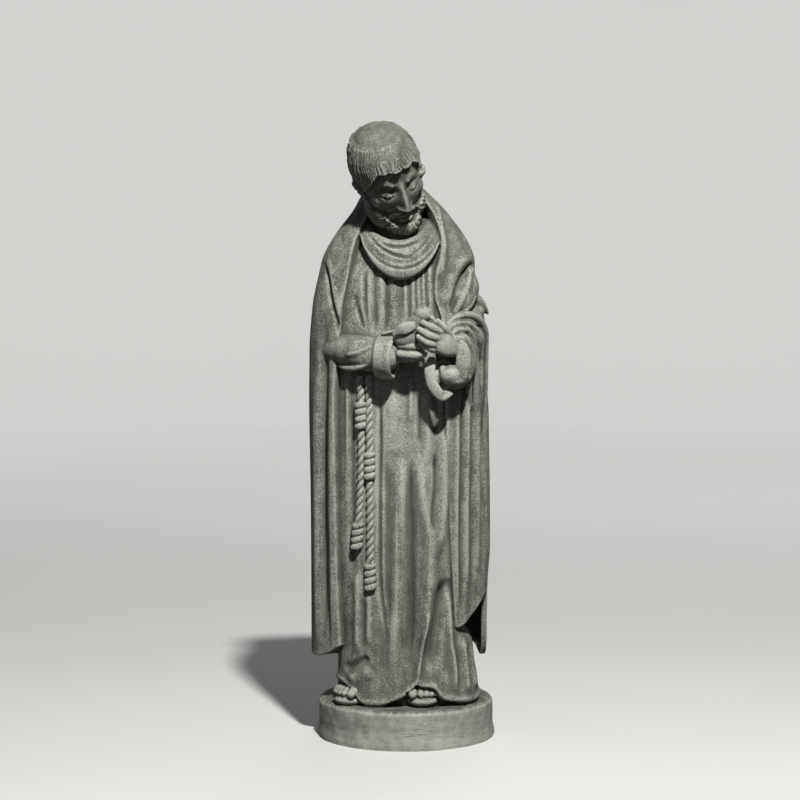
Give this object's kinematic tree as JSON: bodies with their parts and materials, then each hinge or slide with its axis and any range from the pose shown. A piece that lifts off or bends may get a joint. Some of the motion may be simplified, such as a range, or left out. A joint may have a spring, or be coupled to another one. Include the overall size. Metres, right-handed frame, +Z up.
{
  "type": "garden statue of a friar",
  "caption": "Tall garden statue of a robed, bearded friar with bowed head who holds a small bird in his hands, cast in one piece with a low round plinth.",
  "frame": {"origin": "middle of the flat underside of the round plinth", "axes": "+Z up, the figure faces -Y, +X is to the right of someone who looks at its front"},
  "size_m": [0.4133, 0.4053, 1.3652],
  "materials": {
    "stone": "weathered grey cast stone, lighter and rougher on the raised folds and dark in the hollows"
  },
  "bodies": {
    "root": {"saint_francis_statue": "stone"}
  },
  "joints": []
}
